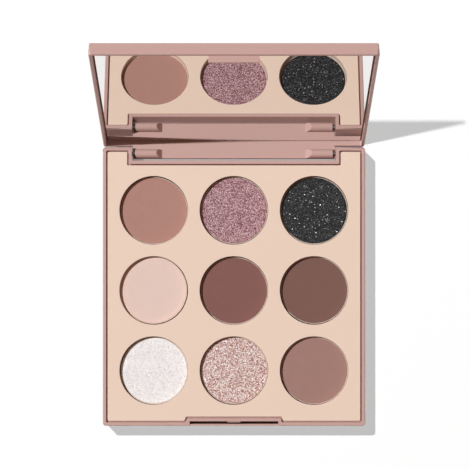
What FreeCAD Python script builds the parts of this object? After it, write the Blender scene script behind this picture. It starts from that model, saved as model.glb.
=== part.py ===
import FreeCAD, Part
import math
import os

from FreeCAD import Vector

# Eyeshadow palette: a flat square case, a mirror lid on two hinge pins, and a tray of
# nine round pans. Millimetres. X runs left to right, +Y is the hinge side and +Z is up.
# The origin is the centre of the base's underside. The lid is drawn shut, then swung open.

# Pans, powder cakes and the adhesive pads under the pans
row_names = ("back", "middle", "front")
column_names = ("left", "centre", "right")
pan_diameter = 26.0
pan_height = 3.0
pan_wall = 0.25
pan_floor = 0.4
powder_clearance = 0.05
powder_below_pan = 0.2
pad_side = 10.0
pad_thickness = 0.2

# Tray plate with a round well for each pan, and a thicker middle that makes the wells deep
tray_below_rim = 0.6
tray_thickness = 1.2
tray_gap = 0.5
tray_corner_chamfer = 0.3
well_depth = 3.0
well_border = 1.4
well_clearance = 0.45
web_between_wells = 4.6
pan_below_tray = 2.2

# Base of the case
side_margin = 6.55
front_margin = 8.15
back_margin = 11.35
base_height = 12.0
floor_thickness = 1.2
rim_width = 1.35
ledge_width = 1.6
rib_thickness = 1.2
seat_side = 12.0
seat_thickness = 1.0
post_side = 4.0
corner_radius = 1.2
inner_corner_chamfer = 0.3
rim_edge_chamfer = 0.25
foot_edge_chamfer = 0.7

# Latch: a slot in the base's front rim with a nub, and a tab on the lid that snaps over it
latch_slot_length = 34.8
latch_slot_width = 1.1
latch_slot_depth = 8.0
latch_lip = 0.7
latch_lip_drop = 0.3
latch_inner_wall = 1.2
latch_end_wall = 1.0
latch_end_slant = 0.4
nub_width = 5.1
nub_height = 1.2
nub_edge = 0.3
nub_reach = 0.55
nub_lead = 0.15
nub_below_rim = 0.5
tab_width = 18.0
tab_thickness = 0.8
tab_length = 2.6
tab_clearance = 0.15
pocket_clearance = 0.25

# Lid, mirror and the tape that holds it
lid_height = 4.6
lid_wall = 1.3
lid_plate = 1.3
lid_taper = 0.3
lid_taper_height = 4.0
lid_edge = 0.7
lid_edge_height = 0.45
parting_gap = 0.15
mirror_thickness = 1.0
mirror_gap = 0.5
tape_thickness = 0.3
tape_margin = 6.0

# Hinge: a tongue on the lid hangs in a notch in the base and turns on two pins
hinge_inset = 2.45
hinge_block_width = 11.45
tongue_side_gap = 0.25
tongue_front_gap = 0.34
tongue_back_step = 0.65
tongue_behind_axis = 0.6
knuckle_wall = 1.0
knuckle_end_gap = 0.9
knuckle_length = 8.4
knuckle_slant = 2.2
pin_diameter = 1.5
pin_cover = 0.75
pin_engagement = 7.0
pin_end_recess = 0.3
pin_press = 0.01
pin_running_gap = 0.05
stop_gap = 0.2312

# Reach of a cutting shape past the face that it opens
past = 1.0

# Plan sizes worked out from the pans
well_diameter = pan_diameter + 2 * well_clearance
pitch = well_diameter + web_between_wells
wells_across = (len(column_names) - 1) * pitch + well_diameter
wells_along = (len(row_names) - 1) * pitch + well_diameter
case_width = wells_across + 2 * side_margin
case_depth = wells_along + front_margin + back_margin
right_side = case_width / 2
front_face = -case_depth / 2
back_face = case_depth / 2
grid_y = front_face + front_margin + wells_along / 2

# Heights
tray_top = base_height - tray_below_rim
tray_underside = tray_top - tray_thickness
wells_underside = tray_top - well_depth
pan_top = tray_top - pan_below_tray
pan_underside = pan_top - pan_height
seat_top = pan_underside - pad_thickness
lid_rim = base_height + parting_gap
lid_top = lid_rim + lid_height
lid_inside = lid_top - lid_plate
mirror_back = lid_inside - tape_thickness

# Latch places, as distances from the front face
slot_back = latch_lip + latch_slot_width
latch_setback = slot_back + latch_inner_wall - rim_width
latch_half_length = latch_slot_length / 2 + latch_end_wall
tab_back = slot_back - tab_clearance
tab_front = tab_back - tab_thickness

# Hinge places
pin_radius = pin_diameter / 2
knuckle_radius = pin_radius + knuckle_wall
hinge_depth = tray_below_rim + tray_thickness + pin_radius + pin_cover
hinge_y = back_face - hinge_inset
hinge_z = base_height - hinge_depth
tongue_face = hinge_y + tongue_behind_axis
tongue_back = back_face - tongue_back_step
tongue_sweep = math.hypot(knuckle_radius, tongue_back - hinge_y)
notch_depth = hinge_inset + tongue_sweep + tongue_front_gap
notch_half = right_side - hinge_block_width
tongue_half = notch_half - tongue_side_gap
knuckle_end = tongue_half - knuckle_end_gap

# The lid stops where its back edge comes up against the base's back face
edge_rise = hinge_depth + parting_gap
edge_radius = math.hypot(hinge_inset, edge_rise)
edge_angle = math.atan2(edge_rise, hinge_inset)
open_angle = math.degrees(edge_angle + math.acos((hinge_inset + stop_gap) / edge_radius))


def block(x0, x1, y0, y1, z0, z1):
    """Box between two corners."""
    return Part.makeBox(x1 - x0, y1 - y0, z1 - z0, Vector(x0, y0, z0))


def disc(x, y, radius, z0, z1):
    """Upright cylinder."""
    return Part.makeCylinder(radius, z1 - z0, Vector(x, y, z0))


def rod(radius, x0, x1):
    """Cylinder along the hinge axis."""
    return Part.makeCylinder(radius, x1 - x0, Vector(x0, hinge_y, hinge_z), Vector(1, 0, 0))


def prism(points, z0, z1):
    """Upright prism on a plan outline."""
    corners = [Vector(x, y, z0) for x, y in points]
    outline = Part.makePolygon(corners + corners[:1])
    return Part.Face(outline).extrude(Vector(0, 0, z1 - z0))


def upright_edges(shape):
    """Straight edges that run along Z."""
    return [edge for edge in shape.Edges if edge.BoundBox.XLength + edge.BoundBox.YLength < 1e-6]


def edges_at(shape, z):
    """Edges that lie in the level plane at height z."""
    return [edge for edge in shape.Edges if abs(edge.BoundBox.ZMin - z) + abs(edge.BoundBox.ZMax - z) < 1e-6]


def mirrored(shape):
    """The same shape on the other side of the palette."""
    return shape.mirror(Vector(0, 0, 0), Vector(1, 0, 0))


def row_places():
    """Name and Y of each row of pans, from the hinge to the front."""
    for row, name in enumerate(row_names):
        yield name, grid_y + ((len(row_names) - 1) / 2 - row) * pitch


def column_places():
    """Name and X of each column of pans, from left to right."""
    for column, name in enumerate(column_names):
        yield name, (column - (len(column_names) - 1) / 2) * pitch


def pan_centres():
    """Centre of every pan."""
    return [(x, y) for row, y in row_places() for column, x in column_places()]


def case_slab(z0, z1):
    """Full outline of the case between two heights, with rounded corners."""
    slab = block(-right_side, right_side, front_face, back_face, z0, z1)
    return slab.makeFillet(corner_radius, upright_edges(slab))


def inner_outline(inset):
    """Plan outline this far inside the base's faces, round the hinge notch and the latch."""
    x_side = right_side - inset
    y_front = front_face + inset
    y_back = back_face - inset
    x_notch = notch_half + inset
    y_notch = y_back - notch_depth
    x_latch = latch_half_length + inset - rim_width
    y_latch = y_front + latch_setback
    right_half = [
        (x_latch, y_latch),
        (x_latch + latch_end_slant, y_front),
        (x_side, y_front),
        (x_side, y_back),
        (x_notch, y_back),
        (x_notch, y_notch),
    ]
    return right_half + [(-x, y) for x, y in reversed(right_half)]


def make_pan_seats():
    """Ribs on the base's floor under each row and column, with a seat where they cross under a pan."""
    half_rib = rib_thickness / 2
    half_seat = seat_side / 2
    rib_top = seat_top - seat_thickness
    reach_x = right_side - rim_width
    y_first = front_face + rim_width
    y_last = back_face - notch_depth - rim_width
    pieces = [block(-reach_x, reach_x, y - half_rib, y + half_rib, floor_thickness, rib_top)
              for row, y in row_places()]
    pieces += [block(x - half_rib, x + half_rib, y_first, y_last, floor_thickness, rib_top)
               for column, x in column_places()]
    pieces += [block(x - half_seat, x + half_seat, y - half_seat, y + half_seat, rib_top, seat_top)
               for x, y in pan_centres()]
    return pieces


def make_tray_posts():
    """Posts on the base's floor that carry the tray plate between its wells."""
    rows = [y for row, y in row_places()]
    columns = [x for column, x in column_places()]
    half = post_side / 2
    middles = [((x0 + x1) / 2, (y0 + y1) / 2)
               for x0, x1 in zip(columns, columns[1:]) for y0, y1 in zip(rows, rows[1:])]
    return [block(x - half, x + half, y - half, y + half, floor_thickness, wells_underside) for x, y in middles]


def make_pin_boss():
    """Right-hand boss for the hinge pin, standing on a web under the tray's corner."""
    radius = tray_underside - hinge_z
    x0 = notch_half
    x1 = right_side - rim_width
    web = block(x0, x1, hinge_y - radius, hinge_y + radius, floor_thickness, hinge_z)
    return rod(radius, x0, x1).fuse(web)


def make_nub():
    """Catch on the back wall of the latch slot, with a small lead above and a slant below for the tab."""
    wall = front_face + slot_back
    top = base_height - nub_below_rim
    root = wall + latch_inner_wall / 2
    tip = wall - nub_reach
    profile = [(root, top), (tip + nub_lead, top), (tip, top - nub_lead), (tip, top - nub_lead - nub_edge),
               (wall, top - nub_height), (root, top - nub_height)]
    corners = [Vector(-nub_width / 2, y, z) for y, z in profile]
    outline = Part.makePolygon(corners + corners[:1])
    return Part.Face(outline).extrude(Vector(nub_width, 0, 0))


def make_base():
    base = case_slab(0, base_height)
    base = base.makeChamfer(foot_edge_chamfer, edges_at(base, 0))
    base = base.makeChamfer(rim_edge_chamfer, edges_at(base, base_height))

    # Room for the tray above its ledge, and the hollow below
    room = prism(inner_outline(rim_width), tray_underside, base_height + past)
    room = room.makeChamfer(inner_corner_chamfer, upright_edges(room))
    hollow = prism(inner_outline(rim_width + ledge_width), floor_thickness, tray_underside + past)
    base = base.cut(room).cut(hollow)
    base = base.fuse(make_pan_seats() + make_tray_posts())
    boss = make_pin_boss()
    base = base.fuse([boss, mirrored(boss)])

    # Notch for the lid's tongue, right through, and the rounded back edge that the lid rolls over
    notch = block(-notch_half, notch_half, back_face - notch_depth, back_face + past, -past, base_height + past)
    corner = block(-right_side - past, right_side + past, hinge_y, back_face + past, hinge_z, base_height + past)
    roll = corner.cut(rod(hinge_depth, -right_side - 2 * past, right_side + 2 * past))
    base = base.cut(notch).cut(roll)

    # Bores that grip the pins
    bore = rod(pin_radius - pin_press / 2, notch_half - past, right_side + past)
    base = base.cut([bore, mirrored(bore)])

    # Latch slot, its low front lip and the nub
    half = latch_slot_length / 2
    slot_front = front_face + latch_lip
    slot = block(-half, half, slot_front, front_face + slot_back, base_height - latch_slot_depth, base_height + past)
    thumb = block(-half, half, front_face - past, slot_front, base_height - latch_lip_drop, base_height + past)
    base = base.cut(slot.fuse(thumb)).fuse(make_nub())
    return base.removeSplitter()


def make_tray():
    plate = prism(inner_outline(rim_width + tray_gap), tray_underside, tray_top)
    plate = plate.makeChamfer(tray_corner_chamfer, upright_edges(plate))
    half_x = wells_across / 2 + well_border
    half_y = wells_along / 2 + well_border
    middle = block(-half_x, half_x, grid_y - half_y, grid_y + half_y, wells_underside, tray_top - tray_thickness / 2)
    wells = [disc(x, y, well_diameter / 2, wells_underside - past, tray_top + past) for x, y in pan_centres()]
    return plate.fuse(middle).removeSplitter().cut(wells)


def make_pan(x, y):
    radius = pan_diameter / 2
    inside = disc(x, y, radius - pan_wall, pan_underside + pan_floor, pan_top + past)
    return disc(x, y, radius, pan_underside, pan_top).cut(inside)


def make_powder(x, y):
    radius = pan_diameter / 2 - pan_wall - powder_clearance
    return disc(x, y, radius, pan_underside + pan_floor, pan_top - powder_below_pan)


def make_pad(x, y):
    """Square adhesive pad between a pan and its seat."""
    half = pad_side / 2
    return block(x - half, x + half, y - half, y + half, seat_top, pan_underside)


def make_pin():
    """Right-hand hinge pin, pressed into the base and turning in the lid's knuckle."""
    return rod(pin_radius, knuckle_end - pin_engagement, right_side - pin_end_recess)


def make_knuckle():
    """Right-hand knuckle: a round-topped rib on the tongue's inner face, with a slanted inner end."""
    x_crest = knuckle_end - knuckle_length
    x_foot = x_crest - knuckle_slant
    y_crest = hinge_y - knuckle_radius
    z_low = hinge_z - knuckle_radius
    z_high = hinge_z + knuckle_radius
    sides = block(x_foot, knuckle_end, hinge_y, tongue_face, z_low, z_high)
    rib = rod(knuckle_radius, x_foot, knuckle_end).fuse(sides)
    slanted = prism([(x_foot, tongue_face), (x_crest, y_crest), (knuckle_end, y_crest), (knuckle_end, tongue_face)],
                    z_low, z_high)
    return rib.common(slanted).removeSplitter()


def make_tab():
    """Latch tab inside the lid's front wall, with a pocket that clears the nub when shut."""
    half = tab_width / 2
    tab_bottom = lid_rim - tab_length
    tab = block(-half, half, front_face + tab_front, front_face + tab_back, tab_bottom, lid_inside + lid_plate / 2)
    pocket_half = nub_width / 2 + pocket_clearance
    pocket_face = front_face + slot_back - nub_reach - pocket_clearance / 2
    nub_top = base_height - nub_below_rim
    pocket = block(-pocket_half, pocket_half, pocket_face, front_face + slot_back,
                   nub_top - nub_height - pocket_clearance, nub_top + pocket_clearance)
    return tab.cut(pocket)


def make_lid_bevels():
    """What the lid's sides lose: a slight taper on the three free sides, and a bevel along every top edge."""
    bevels = []
    for inset, drop, sides in ((lid_taper, lid_taper_height, 3), (lid_edge, lid_edge_height, 4)):
        for side in range(sides):
            reach = right_side if side % 2 == 0 else back_face
            profile = [(reach - inset, lid_top), (reach, lid_top - drop), (reach + past, lid_top - drop),
                       (reach + past, lid_top + past), (reach - inset, lid_top + past)]
            corners = [Vector(x, -case_depth, z) for x, z in profile]
            wedge = Part.Face(Part.makePolygon(corners + corners[:1])).extrude(Vector(0, 2 * case_depth, 0))
            wedge.rotate(Vector(0, 0, 0), Vector(0, 0, 1), -90 * side)
            bevels.append(wedge)
    return bevels


def make_lid():
    lid = case_slab(lid_rim, lid_top)
    lid = lid.makeChamfer(rim_edge_chamfer, edges_at(lid, lid_rim))
    lid = lid.cut(make_lid_bevels())
    hollow = block(-right_side + lid_wall, right_side - lid_wall, front_face + lid_wall, tongue_face,
                   lid_rim - past, lid_inside)
    hollow = hollow.makeChamfer(inner_corner_chamfer, upright_edges(hollow))
    tongue = block(-tongue_half, tongue_half, tongue_face, tongue_back, hinge_z - knuckle_radius, lid_inside)
    knuckle = make_knuckle()
    lid = lid.cut(hollow).fuse([tongue, knuckle, mirrored(knuckle), make_tab()])
    bore = rod(pin_radius + pin_running_gap, knuckle_end - pin_engagement - pin_end_recess, tongue_half + past)
    return lid.cut([bore, mirrored(bore)]).removeSplitter()


def mirror_slab(margin, z0, z1):
    """Slab inside the lid, this far in from the mirror's edge."""
    inset = lid_wall + mirror_gap + margin
    return block(-right_side + inset, right_side - inset, front_face + inset,
                 tongue_face - mirror_gap - margin, z0, z1)


def make_mirror():
    return mirror_slab(0, mirror_back - mirror_thickness, mirror_back)


def make_tape():
    return mirror_slab(tape_margin, mirror_back, lid_inside)


def swung_open(shape):
    """A lid piece turned from shut to its stop."""
    opened = shape.copy()
    opened.rotate(Vector(0, hinge_y, hinge_z), Vector(-1, 0, 0), open_angle)
    return opened


def save(name, shape):
    shape.exportStep(f"parts/{name}.step")


def build():
    os.makedirs("parts", exist_ok=True)
    save("base_shell", make_base())
    save("pan_tray", make_tray())
    for row, y in row_places():
        save(f"pans_{row}_row", Part.makeCompound([make_pan(x, y) for column, x in column_places()]))
        for column, x in column_places():
            save(f"powder_{row}_{column}", make_powder(x, y))
    save("adhesive_pads", Part.makeCompound([make_pad(x, y) for x, y in pan_centres()]))
    pin = make_pin()
    save("hinge_pin_right", pin)
    save("hinge_pin_left", mirrored(pin))
    save("lid_shell", swung_open(make_lid()))
    save("lid_mirror", swung_open(make_mirror()))
    save("mirror_tape", swung_open(make_tape()))
    print(f"case {case_width:.2f} x {case_depth:.2f}, hinge y {hinge_y:.3f} z {hinge_z:.3f}, "
          f"open {open_angle:.3f} degrees")


build()
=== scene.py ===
"""An open eyeshadow palette: the finish of its pieces, the studio round it and the camera.

The case is satin plastic, the tray is matte, the lid holds a mirror, and nine pressed powders lie in
metal pans. Lengths are in metres, in the frame of the solids: the case lies on the floor with its front
towards minus y, and the lid leans back open.
"""
import math
import random

import bmesh
import bpy
from mathutils import Euler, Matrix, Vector, noise


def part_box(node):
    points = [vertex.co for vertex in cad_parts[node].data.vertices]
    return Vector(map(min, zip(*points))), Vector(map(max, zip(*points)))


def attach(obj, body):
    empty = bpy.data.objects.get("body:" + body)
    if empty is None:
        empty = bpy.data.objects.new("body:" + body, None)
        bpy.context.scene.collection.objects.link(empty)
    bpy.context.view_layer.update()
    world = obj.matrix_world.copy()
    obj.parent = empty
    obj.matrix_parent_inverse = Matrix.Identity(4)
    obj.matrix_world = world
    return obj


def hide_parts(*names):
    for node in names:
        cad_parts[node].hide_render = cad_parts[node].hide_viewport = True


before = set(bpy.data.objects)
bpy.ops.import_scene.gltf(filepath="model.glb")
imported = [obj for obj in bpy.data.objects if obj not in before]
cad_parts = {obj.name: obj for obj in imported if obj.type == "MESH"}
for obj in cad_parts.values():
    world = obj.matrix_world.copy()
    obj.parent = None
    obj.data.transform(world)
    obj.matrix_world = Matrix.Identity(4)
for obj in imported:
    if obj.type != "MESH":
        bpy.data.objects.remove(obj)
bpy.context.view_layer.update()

scene = bpy.context.scene
MM = 0.001

# Softened edges of the moulded pieces and the mirror
BASE_EDGE = 0.12 * MM
TRAY_EDGE = 0.2 * MM
LID_EDGE = 0.15 * MM
MIRROR_EDGE = 0.1 * MM
EDGE_SEGMENTS = 3
SHARP_ANGLE = math.radians(30)
FLAT_ANGLE = math.radians(1)
SAME_POINT = 0.001 * MM
FLAT_FACE_WEIGHT = 90

# Pans. Their rolled rims make pans and cakes this much larger in radius than the solids
ROLLED_EDGE = 0.2 * MM
PAN_FOOT = 0.5 * MM
PAN_SIDES = 128
FOOT_STEPS = 5
RIM_STEPS = 8
DUSTED_DEPTH = 2.0 * MM
SMEAR_DEPTH = 0.5 * MM

# Cakes of powder. The scales of their relief are per millimetre
CAKE_GAP = 0.03 * MM
CAKE_SHOULDER = 0.25 * MM
SHOULDER_STEPS = 5
CAKE_SIDES = 160
CAKE_RINGS = 44
RELIEF_HEIGHT = 0.02 * MM
RELIEF_DEPTH = 0.1 * MM
RELIEF_SEED_STEP = 7.3
BROAD_SCALE = 0.35
BROAD_SHARE = 0.6
FINE_SCALE = 1.6
FINE_SHARE = 0.4

# Foil flakes. Their sizes are in millimetres, and their tilt is a spread in radians
FLAKE_SMALLEST = 0.1
FLAKE_THICKNESS = 0.024 * MM
FLAKE_CORNERS = 6
FLAKE_TILT = 0.14
FLAKE_MARGIN = 0.5 * MM

# Floor. A darker rectangle of painted shade keeps the gaps at the hinge dark. It lies under the case, in
# from three of its sides and out behind it
FLOOR_HALF = 2.0
FLOOR_DROP = 0.1 * MM
FLOOR_GREY = 0.12
FLOOR_GLOW = 0.06
MIRRORED_FLOOR = (0.96, 0.943, 0.935, 1.0)
PAINTED_SHADE_GREY = 0.046
SHADE_PATCH_IN_LEFT = 5.0 * MM
SHADE_PATCH_IN_RIGHT = 1.0 * MM
SHADE_PATCH_IN_FRONT = 1.7 * MM
SHADE_PATCH_OUT_BACK = 3.3 * MM

# Lamps, all at one height, and the weak warm light of the sky on what they don't reach
LAMP_HEIGHT = 6.0
KEY_TINT = (0.932, 0.986, 1.0)
FLOOR_TINT = (0.992, 1.0, 1.0)
SHADE_LIGHT = (0.17, 0.105, 0.08, 1.0)
WHITE_LIGHT = (1.0, 1.0, 1.0, 1.0)

# Camera, which looks straight down
CAMERA_PLACE = (0.0002, 0.0204, 0.987)
CAMERA_LENS = 190.7
CAMERA_SENSOR = 36.0


# Colours

def colour(code, gain=1.0):
    """A linear colour from six hexadecimal digits, made lighter or darker by the gain."""
    channels = []
    for start in (0, 2, 4):
        value = int(code[start:start + 2], 16) / 255
        linear = value / 12.92 if value <= 0.04045 else ((value + 0.055) / 1.055) ** 2.4
        channels.append(min(linear * gain, 1.0))
    return (*channels, 1.0)


def grey(value):
    """A linear grey."""
    return (value, value, value, 1.0)


# Shader nodes

class Signal:
    """An output of a node. Sums and products of signals add Math nodes."""

    def __init__(self, finish, node, socket):
        self.finish = finish
        self.node = node
        self.socket = socket

    def out(self, name):
        return Signal(self.finish, self.node, self.node.outputs[name])

    def maths(self, operation, first, second):
        return self.finish.node("Math", {"operation": operation}, {0: first, 1: second})

    def __add__(self, other):
        return self.maths("ADD", self, other)

    def __sub__(self, other):
        return self.maths("SUBTRACT", self, other)

    def __rsub__(self, other):
        return self.maths("SUBTRACT", other, self)

    def __mul__(self, other):
        return self.maths("MULTIPLY", self, other)

    def __gt__(self, other):
        return self.maths("GREATER_THAN", self, other)

    def most(self, other):
        return self.maths("MAXIMUM", self, other)

    __radd__ = __add__
    __rmul__ = __mul__


class Finish:
    """The nodes of one material or of the world."""

    def __init__(self, tree):
        self.tree = tree
        tree.nodes.clear()

    def node(self, kind, settings=None, inputs=None):
        """Any node: its settings come first, then the values or links of its sockets."""
        node = self.tree.nodes.new("ShaderNode" + kind)
        for name, value in (settings or {}).items():
            if name == "stops":
                set_stops(node.color_ramp, value)
            else:
                setattr(node, name, value)
        for name, value in (inputs or {}).items():
            if isinstance(value, Signal):
                self.tree.links.new(value.socket, node.inputs[name])
            else:
                node.inputs[name].default_value = value
        return Signal(self, node, node.outputs[0] if node.outputs else None)

    def place(self):
        return self.node("TexCoord").out("Object")

    def place_parts(self):
        return self.node("SeparateXYZ", {}, {"Vector": self.place()})

    def cloud(self, size, detail, stretch=None):
        """Soft noise of about the given size in millimetres."""
        where = self.place()
        if stretch:
            where = self.node("Mapping", {}, {"Vector": where, "Scale": stretch})
        inputs = {"Vector": where, "Scale": 1 / (size * MM), "Detail": detail}
        return self.node("TexNoise", {"noise_dimensions": "3D"}, inputs)

    def drawn_grain(self):
        """The fine lines that drawing leaves in metal, close together in height."""
        return self.cloud(size=0.35, detail=2.0, stretch=(1.0, 1.0, 6.0))

    def cells(self, size):
        """Flat random cells of about the given size in millimetres: their random colour."""
        inputs = {"Vector": self.place(), "Scale": 1 / (size * MM)}
        return self.node("TexVoronoi", {"feature": "F1"}, inputs).out("Color")

    def colour_parts(self, mixed):
        return self.node("SeparateColor", {}, {"Color": mixed})

    def ramp(self, factor, stops):
        return self.node("ValToRGB", {"stops": stops}, {"Fac": factor})

    def blend(self, factor, first, second):
        """The first colour where the factor is nought, and the second where it is one."""
        made = self.node("Mix", {"data_type": "RGBA"}, {0: factor, 6: first, 7: second})
        return Signal(self, made.node, made.node.outputs[2])

    def vector(self, operation, first, second=(0.0, 0.0, 0.0)):
        return self.node("VectorMath", {"operation": operation}, {0: first, 1: second})

    def bump(self, height, depth):
        """A normal from a height signal whose full range is the given depth in millimetres."""
        return self.node("Bump", {}, {"Height": height, "Distance": depth * MM, "Strength": 1.0})

    def mirrored(self):
        """One for the rays of a reflection that the eye sees."""
        path = self.node("LightPath")
        return path.out("Is Glossy Ray") * (1 - (path.out("Diffuse Depth") > 0.5))

    def seen(self):
        """One for the rays that show a surface, to the eye or in a reflection."""
        path = self.node("LightPath")
        direct = path.out("Is Camera Ray").most(path.out("Is Glossy Ray"))
        shown = direct.most(path.out("Is Transmission Ray"))
        return shown * (1 - (path.out("Diffuse Depth") > 0.5))

    def surface(self, inputs):
        shader = self.node("BsdfPrincipled", {}, inputs)
        self.node("OutputMaterial", {}, {"Surface": shader})


def set_stops(ramp, stops):
    while len(ramp.elements) < len(stops):
        ramp.elements.new(0.5)
    for element, (position, value) in zip(ramp.elements, stops):
        element.position = position
        element.color = value


def new_finish(name):
    material = bpy.data.materials.new(name)
    material.use_nodes = True
    return material, Finish(material.node_tree)


# Materials

def moulded_plastic(name, code, roughness, grain_depth):
    """Moulded plastic: faint flow clouds in the colour, and a fine spark-eroded grain."""
    material, finish = new_finish(name)
    flow = finish.cloud(size=14.0, detail=3.0)
    grain = finish.cloud(size=0.28, detail=3.0)
    tint = finish.blend(flow, colour(code, 0.985), colour(code, 1.015))
    finish.surface({
        "Base Color": finish.blend(grain * 0.35, tint, colour(code, 0.9)),
        "Roughness": roughness - 0.06 + 0.12 * grain,
        "Specular IOR Level": 0.25,
        "Normal": finish.bump(grain, grain_depth),
    })
    return material


def drawn_steel(name, code, roughness):
    """Drawn steel wire: a fine grain, and small differences in polish."""
    material, finish = new_finish(name)
    drawn = finish.drawn_grain()
    worn = finish.cloud(size=4.0, detail=3.0)
    finish.surface({
        "Base Color": finish.blend(worn, colour(code, 0.9), colour(code, 1.06)),
        "Metallic": 1.0,
        "Roughness": roughness - 0.08 + 0.16 * drawn,
        "Normal": finish.bump(drawn, 0.006),
    })
    return material


def mirror_silver(name):
    """Silvered glass: near perfect, with a breath of haze that varies over the sheet."""
    material, finish = new_finish(name)
    haze = finish.cloud(size=24.0, detail=4.0)
    finish.surface({
        "Base Color": finish.blend(haze, colour("F0F0EF"), colour("F5F4F3")),
        "Metallic": 1.0,
        "Roughness": 0.004 + 0.012 * haze,
    })
    return material


def dusted_metal(name, code, dusted_from):
    """A pan's sheet metal, dusted with its own powder where the press has smeared it over the rim."""
    material, finish = new_finish(name)
    drawn = finish.drawn_grain()
    smear = finish.cloud(size=0.8, detail=3.0)
    height = finish.place_parts().out("Z")
    dust = (height + smear * SMEAR_DEPTH) > dusted_from
    dusted = finish.blend(smear + 0.35, colour(code), colour("E6D6CA"))
    finish.surface({
        "Base Color": finish.blend(dust, colour("CFC2B8"), dusted),
        "Metallic": 1 - dust,
        "Roughness": 0.28 + 0.16 * drawn + 0.4 * dust,
        "Specular IOR Level": 0.05,
        "Normal": finish.bump(drawn, 0.006),
    })
    return material


def soft_foam(name, code):
    """Foam tape and pads: small open pores."""
    material, finish = new_finish(name)
    pores = finish.cloud(size=0.5, detail=3.0)
    finish.surface({
        "Base Color": finish.blend(pores, colour(code, 0.85), colour(code, 1.08)),
        "Roughness": 0.8 + 0.15 * pores,
        "Normal": finish.bump(pores, 0.05),
    })
    return material


def matte_powder(name, code, contrast=0.05):
    """Pressed matte powder: a dry fine grain over faint press clouds."""
    material, finish = new_finish(name)
    grain = finish.cloud(size=0.16, detail=3.0)
    press = finish.cloud(size=3.5, detail=3.0)
    pressed = finish.blend(press, colour(code, 1 - contrast), colour(code, 1 + contrast))
    finish.surface({
        "Base Color": finish.blend(grain * 0.6, pressed, colour(code, 1 - 4 * contrast)),
        "Roughness": 0.86 + 0.1 * grain,
        "Specular IOR Level": 0.15,
        "Normal": finish.bump(grain, 0.02),
    })
    return material


def shimmer_powder(name, low, middle, high, size, shine):
    """Pressed shimmer powder: mica plates of many tints, each tilted its own way, over finer ones."""
    material, finish = new_finish(name)
    plates = finish.cells(size)
    fine_plates = finish.cells(size * 0.55)
    lean = finish.vector("SUBTRACT", plates, (0.5, 0.5, 0.5))
    upright = finish.node("NewGeometry").out("Normal")
    tilted = finish.vector("ADD", upright, finish.vector("MULTIPLY", lean, (0.35, 0.35, 0.35)))
    chance = finish.colour_parts(plates)
    fine_chance = finish.colour_parts(fine_plates)
    # The tints vary at random from plate to plate, and the light end of the ramp is painted glint:
    # bright specks that stand in for light off the mica
    stops = [
        (0.26, colour(low)),
        (0.44, colour(middle, 0.9)),
        (0.56, colour(middle, 1.06)),
        (0.74, colour(high)),
    ]
    finish.surface({
        "Base Color": finish.ramp(0.62 * chance.out("Red") + 0.38 * fine_chance.out("Red"), stops),
        "Metallic": shine * chance.out("Green"),
        "Roughness": 0.6 - 0.2 * chance.out("Blue"),
        "Specular IOR Level": 0.12,
        "Normal": finish.vector("NORMALIZE", tilted),
    })
    return material


def foil_flake(name, low, high):
    """Loose glitter: bright foil, each flake with its own tint."""
    material, finish = new_finish(name)
    own = finish.node("NewGeometry").out("Random Per Island")
    film = finish.cloud(size=0.3, detail=1.0)
    finish.surface({
        "Base Color": finish.blend(own, colour(low), colour(high)),
        "Metallic": 0.85,
        "Roughness": 0.22 + 0.16 * film,
    })
    return material


def floor_paper(name):
    """Paper that strong lamps turn white, so dark in itself. Its reflection is even, without shadows."""
    material, finish = new_finish(name)
    lo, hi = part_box("base_shell")
    spot = finish.place_parts()
    across = (spot.out("X") > lo.x + SHADE_PATCH_IN_LEFT) * (1 - (spot.out("X") > hi.x - SHADE_PATCH_IN_RIGHT))
    along = (spot.out("Y") > lo.y + SHADE_PATCH_IN_FRONT) * (1 - (spot.out("Y") > hi.y + SHADE_PATCH_OUT_BACK))
    # Painted shade: the floor is darker under the case and just behind it, so the hinge gaps show dark
    floor_with_painted_shade = finish.blend(across * along, grey(FLOOR_GREY), grey(PAINTED_SHADE_GREY))
    mirrored = finish.mirrored()
    finish.surface({
        "Base Color": finish.blend(mirrored, floor_with_painted_shade, grey(0.0)),
        "Roughness": 1.0,
        "Specular IOR Level": 0.0,
        "Emission Color": finish.blend(mirrored, grey(FLOOR_GLOW), MIRRORED_FLOOR),
        "Emission Strength": 1.0,
    })
    return material


# Meshes

def add_piece(mesh, name, body, material, replaced=()):
    """A new piece from a mesh. It rides on a body, and may stand for some solids."""
    data = bpy.data.meshes.new(name)
    mesh.to_mesh(data)
    mesh.free()
    piece = bpy.data.objects.new(name, data)
    scene.collection.objects.link(piece)
    data.materials.append(material)
    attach(piece, body)
    if replaced:
        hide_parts(*replaced)
    return piece


def coat(node, material):
    """Gives its finish to a solid that stays as it is."""
    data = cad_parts[node].data
    data.materials.clear()
    data.materials.append(material)


def soften(piece, width):
    """Rolls the sharp edges of a piece over by a small width."""
    for face in piece.data.polygons:
        face.use_smooth = True
    piece.data.set_sharp_from_angle(angle=SHARP_ANGLE)
    bevel = piece.modifiers.new("edges", "BEVEL")
    bevel.width = width
    bevel.segments = EDGE_SEGMENTS
    bevel.limit_method = "ANGLE"
    bevel.angle_limit = SHARP_ANGLE
    bevel.use_clamp_overlap = False
    weld = piece.modifiers.new("weld", "WELD")
    weld.merge_threshold = SAME_POINT
    normals = piece.modifiers.new("normals", "WEIGHTED_NORMAL")
    normals.mode = "FACE_AREA"
    normals.weight = FLAT_FACE_WEIGHT
    normals.keep_sharp = True


def dressed(node, body, material, width):
    """A solid with its edges softened as moulding leaves them."""
    mesh = bmesh.new()
    mesh.from_mesh(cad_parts[node].data)
    bmesh.ops.remove_doubles(mesh, verts=mesh.verts, dist=SAME_POINT)
    bmesh.ops.dissolve_limit(mesh, angle_limit=FLAT_ANGLE, verts=mesh.verts, edges=mesh.edges)
    piece = add_piece(mesh, node + "_dressed", body, material, (node,))
    soften(piece, width)
    return piece


def polar(centre, radius, angle, height):
    """The point at a radius and an angle round an upright axis."""
    return Vector((centre[0] + radius * math.cos(angle), centre[1] + radius * math.sin(angle), height))


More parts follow.
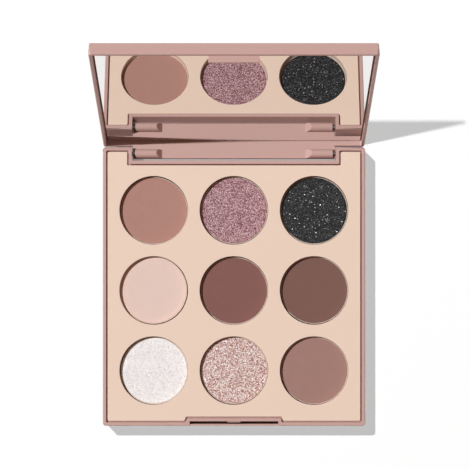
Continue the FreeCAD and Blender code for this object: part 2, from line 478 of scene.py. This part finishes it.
def turned(profile, centre, sides, relief=None):
    """A closed body of revolution. The profile starts and ends on the axis; relief lifts its points."""
    mesh = bmesh.new()
    rings = []
    for radius, height in profile:
        count = 1 if radius == 0 else sides
        ring = []
        for step in range(count):
            point = polar(centre, radius, 2 * math.pi * step / sides, height)
            if relief:
                point.z += relief(point)
            ring.append(mesh.verts.new(point))
        rings.append(ring)
    for lower, upper in zip(rings, rings[1:]):
        for step in range(sides):
            after = (step + 1) % sides
            corners = [lower[step % len(lower)], lower[after % len(lower)],
                       upper[after % len(upper)], upper[step % len(upper)]]
            mesh.faces.new(list(dict.fromkeys(corners)))
    bmesh.ops.recalc_face_normals(mesh, faces=mesh.faces)
    for face in mesh.faces:
        face.smooth = True
    return mesh


def arc(middle, radius, start, end, steps):
    """Points of a rounded edge in a turned profile, from one angle to another in degrees."""
    points = []
    for step in range(steps + 1):
        angle = math.radians(start + (end - start) * step / steps)
        points.append((middle[0] + radius * math.cos(angle), middle[1] + radius * math.sin(angle)))
    return points


# Wells, pans and powders

class Well:
    """A well of the tray and its powder. Pan and cake sit off its middle by the slip, in millimetres.

    The dust is the powder's colour where it lies on the pan's rim.
    """

    def __init__(self, row, column, powder, slip, dust, finish, **looks):
        self.place = row + "_" + column
        self.pan_node = "pans_" + row + "_row"
        self.powder_node = "powder_" + self.place
        self.powder = powder
        self.slip = slip
        self.dust = dust
        self.material = finish(powder, **looks)
        self.relief = None

    def centre(self):
        lo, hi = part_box(self.powder_node)
        return ((lo.x + hi.x) / 2 + self.slip[0] * MM, (lo.y + hi.y) / 2 + self.slip[1] * MM)


def make_pan(well):
    """A drawn metal pan with a rolled rim and a rounded foot."""
    lo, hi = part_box(well.pan_node)
    powder_lo, powder_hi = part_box(well.powder_node)
    outer = (hi.y - lo.y) / 2 + ROLLED_EDGE
    inner = (powder_hi.x - powder_lo.x) / 2 + ROLLED_EDGE + CAKE_GAP
    wall = outer - inner
    profile = [(0, lo.z), ((outer - PAN_FOOT) / 2, lo.z)]
    profile += arc((outer - PAN_FOOT, lo.z + PAN_FOOT), PAN_FOOT, -90, 0, FOOT_STEPS)
    profile += arc((outer - wall / 2, hi.z - wall / 2), wall / 2, 0, 180, RIM_STEPS)
    profile += [(inner, powder_lo.z), (inner / 2, powder_lo.z), (0, powder_lo.z)]
    mesh = turned(profile, well.centre(), PAN_SIDES)
    name = "pan_" + well.place
    material = dusted_metal(name, well.dust, hi.z - DUSTED_DEPTH)
    add_piece(mesh, name, "base", material, (well.pan_node,))


def cake_relief(top, seed):
    """The faint unevenness that pressing leaves on a cake's face."""
    def lift(point):
        if point.z < top - RELIEF_DEPTH:
            return 0.0
        here = Vector((point.x / MM, point.y / MM, seed))
        broad = noise.noise(here * BROAD_SCALE)
        fine = noise.noise(here * FINE_SCALE)
        return RELIEF_HEIGHT * (BROAD_SHARE * broad + FINE_SHARE * fine - 1.0)
    return lift


def make_cake(well, seed):
    """A pressed cake of powder with a rounded shoulder."""
    lo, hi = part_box(well.powder_node)
    radius = (hi.x - lo.x) / 2 + ROLLED_EDGE
    flat = radius - CAKE_SHOULDER
    profile = [(0, lo.z), (radius / 2, lo.z), (radius, lo.z), (radius, (lo.z + hi.z) / 2)]
    profile += arc((flat, hi.z - CAKE_SHOULDER), CAKE_SHOULDER, 0, 90, SHOULDER_STEPS)
    profile += [(flat * (CAKE_RINGS - step) / CAKE_RINGS, hi.z) for step in range(1, CAKE_RINGS + 1)]
    well.relief = cake_relief(hi.z, seed)
    mesh = turned(profile, well.centre(), CAKE_SIDES, well.relief)
    add_piece(mesh, "cake_" + well.place, "base", well.material, (well.powder_node,))


def make_flakes(well, material, count, largest, seed):
    """Foil flakes scattered on a cake: thin six-sided plates, pressed in at small tilts."""
    lo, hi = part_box(well.powder_node)
    centre = well.centre()
    reach = (hi.x - lo.x) / 2 - FLAKE_MARGIN
    chance = random.Random(seed)
    mesh = bmesh.new()
    for _ in range(count):
        away = reach * math.sqrt(chance.random())
        bearing = chance.uniform(0, 2 * math.pi)
        size = (FLAKE_SMALLEST + (largest - FLAKE_SMALLEST) * chance.random() ** 3) * MM
        lean_x = chance.gauss(0, FLAKE_TILT)
        lean_y = chance.gauss(0, FLAKE_TILT)
        turn = Euler((lean_x, lean_y, chance.uniform(0, math.pi))).to_matrix()
        spot = polar(centre, away, bearing, hi.z)
        spot.z += well.relief(spot)
        rings = []
        for level in (-FLAKE_THICKNESS / 2, FLAKE_THICKNESS / 2):
            ring = []
            for corner in range(FLAKE_CORNERS):
                angle = 2 * math.pi * corner / FLAKE_CORNERS
                ring.append(mesh.verts.new(spot + turn @ polar((0.0, 0.0), size / 2, angle, level)))
            rings.append(ring)
        low, high = rings
        mesh.faces.new(low[::-1])
        mesh.faces.new(high)
        for corner in range(FLAKE_CORNERS):
            after = (corner + 1) % FLAKE_CORNERS
            mesh.faces.new((low[corner], low[after], high[after], high[corner]))
    add_piece(mesh, "flakes_" + well.place, "base", material)


# The case

case_plastic = moulded_plastic("case_plastic_satin", "C6A199", roughness=0.42, grain_depth=0.004)
tray_plastic = moulded_plastic("tray_plastic_matte", "ECD1BF", roughness=0.6, grain_depth=0.006)
mirror = mirror_silver("mirror_silver")
# The pins' dark steel colour is partly painted shade, so they stay dim in the hinge gaps
pin_steel = drawn_steel("pin_steel_dark", "77706D", roughness=0.42)

dressed("base_shell", "base", case_plastic, BASE_EDGE)
dressed("pan_tray", "base", tray_plastic, TRAY_EDGE)
lid_piece = dressed("lid_shell", "lid", case_plastic, LID_EDGE)
mirror_piece = dressed("lid_mirror", "lid", mirror, MIRROR_EDGE)

coat("hinge_pin_left", pin_steel)
coat("hinge_pin_right", pin_steel)
coat("mirror_tape", soft_foam("tape_foam", "E8E4DC"))
coat("adhesive_pads", soft_foam("adhesive_gum", "D9D2BE"))

# The pans and powders

wells = [
    Well("back", "left", "powder_taupe", slip=(0.08, -0.15), dust="B18579",
         finish=matte_powder, code="B5897D"),
    Well("back", "centre", "powder_mauve", slip=(0.08, -0.02), dust="A88286",
         finish=shimmer_powder, low="4A1426", middle="8C5660", high="F0D2D2", size=0.2, shine=0.2),
    Well("back", "right", "powder_black", slip=(0.08, -0.1), dust="3D3B3C",
         finish=shimmer_powder, low="0C0B0C", middle="201F20", high="4A494A", size=0.4, shine=0.12),
    Well("middle", "left", "powder_pale_pink", slip=(-0.16, 0.04), dust="E4C6BB",
         finish=matte_powder, code="E7CCC1", contrast=0.025),
    Well("middle", "centre", "powder_plum", slip=(0.1, -0.12), dust="865D58",
         finish=matte_powder, code="8A605A"),
    Well("middle", "right", "powder_brown", slip=(0.14, 0.06), dust="7E5C53",
         finish=matte_powder, code="815F57"),
    Well("front", "left", "powder_pearl", slip=(0.14, -0.1), dust="ECE5E3",
         finish=shimmer_powder, low="E0DAD9", middle="EBE6E6", high="F6F3F3", size=0.55, shine=0.05),
    Well("front", "centre", "powder_rose", slip=(0.1, 0.02), dust="D0B3AD",
         finish=shimmer_powder, low="703C36", middle="CA9E92", high="FFFFFF", size=0.27, shine=0.2),
    Well("front", "right", "powder_rose_brown", slip=(0.15, -0.06), dust="A27C73",
         finish=matte_powder, code="A78178"),
]
for well in wells:
    make_pan(well)
for index, well in enumerate(wells):
    make_cake(well, RELIEF_SEED_STEP * index)

well_of = {well.powder: well for well in wells}
silver_foil = foil_flake("foil_silver", "565455", "FFFFFF")
mauve_foil = foil_flake("foil_mauve", "A98389", "E6CBD0")
pearl_foil = foil_flake("foil_pearl", "EFE8E6", "FFFFFF")
rose_foil = foil_flake("foil_rose", "CFADA5", "FFF0EA")
make_flakes(well_of["powder_black"], silver_foil, count=330, largest=0.44, seed=11)
make_flakes(well_of["powder_mauve"], mauve_foil, count=90, largest=0.3, seed=12)
make_flakes(well_of["powder_pearl"], pearl_foil, count=60, largest=0.3, seed=13)
make_flakes(well_of["powder_rose"], rose_foil, count=120, largest=0.4, seed=14)

# The studio

floor_mesh = bmesh.new()
bmesh.ops.create_grid(floor_mesh, x_segments=4, y_segments=4, size=FLOOR_HALF)
floor_data = bpy.data.meshes.new("floor")
floor_mesh.to_mesh(floor_data)
floor_mesh.free()
floor_data.materials.append(floor_paper("floor_paper"))
floor = bpy.data.objects.new("floor", floor_data)
floor.location.z = -FLOOR_DROP
scene.collection.objects.link(floor)

sky = bpy.data.worlds.new("studio")
scene.world = sky
sky.use_nodes = True
sky_finish = Finish(sky.node_tree)
sky_light = sky_finish.blend(sky_finish.seen(), SHADE_LIGHT, WHITE_LIGHT)
sky_finish.node("OutputWorld", {}, {"Surface": sky_finish.node("Background", {}, {"Color": sky_light})})


def linked(name, pieces, state):
    """A group that takes pieces into a lamp's light or shadow, or leaves them out."""
    group = bpy.data.collections.new(name)
    for piece in pieces:
        group.objects.link(piece)
    for member in group.collection_objects:
        member.light_linking.link_state = state
    return group


def add_lamp(name, place, power, size, tint, pieces, state):
    """A small lamp that lights only some pieces, or everything but them."""
    data = bpy.data.lights.new(name, "POINT")
    data.energy = power
    data.shadow_soft_size = size
    data.color = tint
    lamp = bpy.data.objects.new(name, data)
    lamp.location = (*place, LAMP_HEIGHT)
    scene.collection.objects.link(lamp)
    lamp.light_linking.receiver_collection = linked(name + "_lights", pieces, state)
    return lamp


# One lamp lights the base and one the lid. Two more light the floor alone: the base shades the first,
# and the mirror shades the second
lid_pieces = [lid_piece, mirror_piece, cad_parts["mirror_tape"]]
add_lamp("base_key", place=(-3.0, 1.56), power=1842.0, size=0.05, tint=KEY_TINT,
         pieces=[floor] + lid_pieces, state="EXCLUDE")
add_lamp("lid_key", place=(-4.55, 1.539), power=2564.0, size=0.05, tint=KEY_TINT,
         pieces=lid_pieces, state="INCLUDE")
base_shadow = add_lamp("floor_base_shadow", place=(-2.316, 2.36), power=8418.0, size=0.04,
                       tint=FLOOR_TINT, pieces=[floor], state="INCLUDE")
base_shadow.light_linking.blocker_collection = linked("lid_out", lid_pieces, "EXCLUDE")
lid_shadow = add_lamp("floor_lid_shadow", place=(-2.241, 1.209), power=6957.0, size=0.05,
                      tint=FLOOR_TINT, pieces=[floor], state="INCLUDE")
lid_shadow.light_linking.blocker_collection = linked("mirror_only", [mirror_piece], "INCLUDE")

camera_data = bpy.data.cameras.new("camera")
camera_data.sensor_width = CAMERA_SENSOR
camera_data.lens = CAMERA_LENS
camera = bpy.data.objects.new("camera", camera_data)
camera.location = CAMERA_PLACE
scene.collection.objects.link(camera)
scene.camera = camera
scene.view_settings.view_transform = "Standard"
